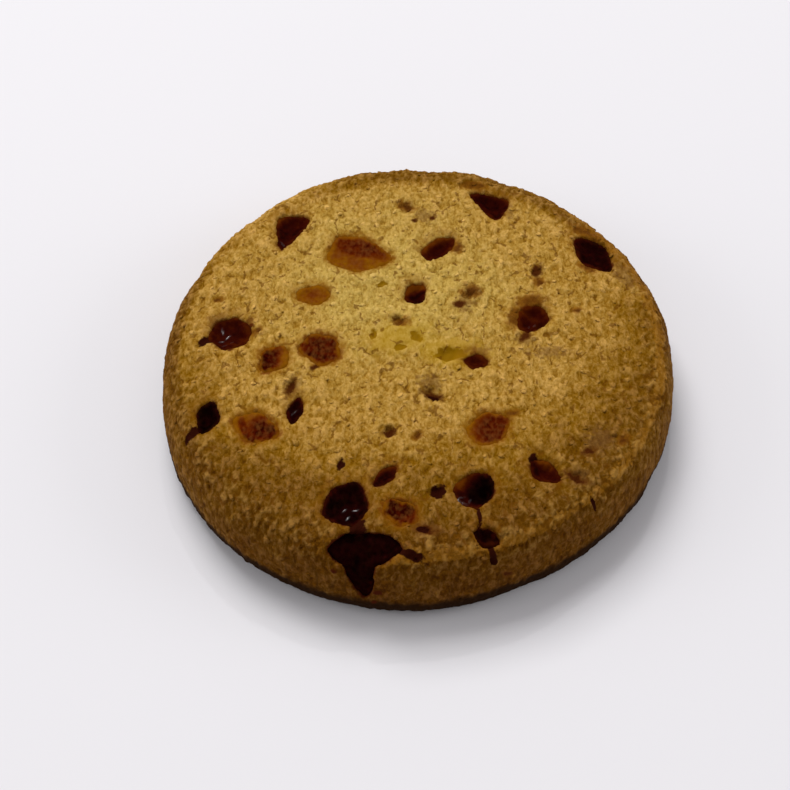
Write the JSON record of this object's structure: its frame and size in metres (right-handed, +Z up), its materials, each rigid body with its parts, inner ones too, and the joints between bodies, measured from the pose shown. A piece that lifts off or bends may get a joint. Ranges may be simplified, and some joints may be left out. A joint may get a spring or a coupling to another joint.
{
  "type": "sable cookie",
  "caption": "Thick round butter biscuit with a flat base, soft shoulder, sandy golden crust and lumps of melted toffee sunk in its face; food to eat by hand.",
  "frame": {"origin": "middle of the flat base, under the centre of the outline", "axes": "+Z up through the thickness, out of the face with the toffee; the biscuit lies flat on its base; -Y is the side nearest the viewer"},
  "size_m": [0.0638, 0.0642, 0.0114],
  "materials": {
    "dough": "baked butter dough, sandy and matte",
    "toffee_dark": "boiled dark toffee, glossy",
    "toffee_amber": "melted amber toffee, satin"
  },
  "bodies": {
    "root": {"dough": "dough", "toffee_dark_01": "toffee_dark", "toffee_dark_02": "toffee_dark", "toffee_dark_03": "toffee_dark", "toffee_dark_04": "toffee_dark", "toffee_dark_05": "toffee_dark", "toffee_dark_06": "toffee_dark", "toffee_dark_07": "toffee_dark", "toffee_dark_08": "toffee_dark", "toffee_dark_09": "toffee_dark", "toffee_dark_10": "toffee_dark", "toffee_dark_11": "toffee_dark", "toffee_dark_12": "toffee_dark", "toffee_dark_13": "toffee_dark", "toffee_dark_14": "toffee_dark", "toffee_dark_15": "toffee_dark", "toffee_dark_16": "toffee_dark", "toffee_amber_01": "toffee_amber", "toffee_amber_02": "toffee_amber", "toffee_amber_03": "toffee_amber", "toffee_amber_04": "toffee_amber", "toffee_amber_05": "toffee_amber", "toffee_amber_06": "toffee_amber", "toffee_amber_07": "toffee_amber"}
  },
  "joints": []
}
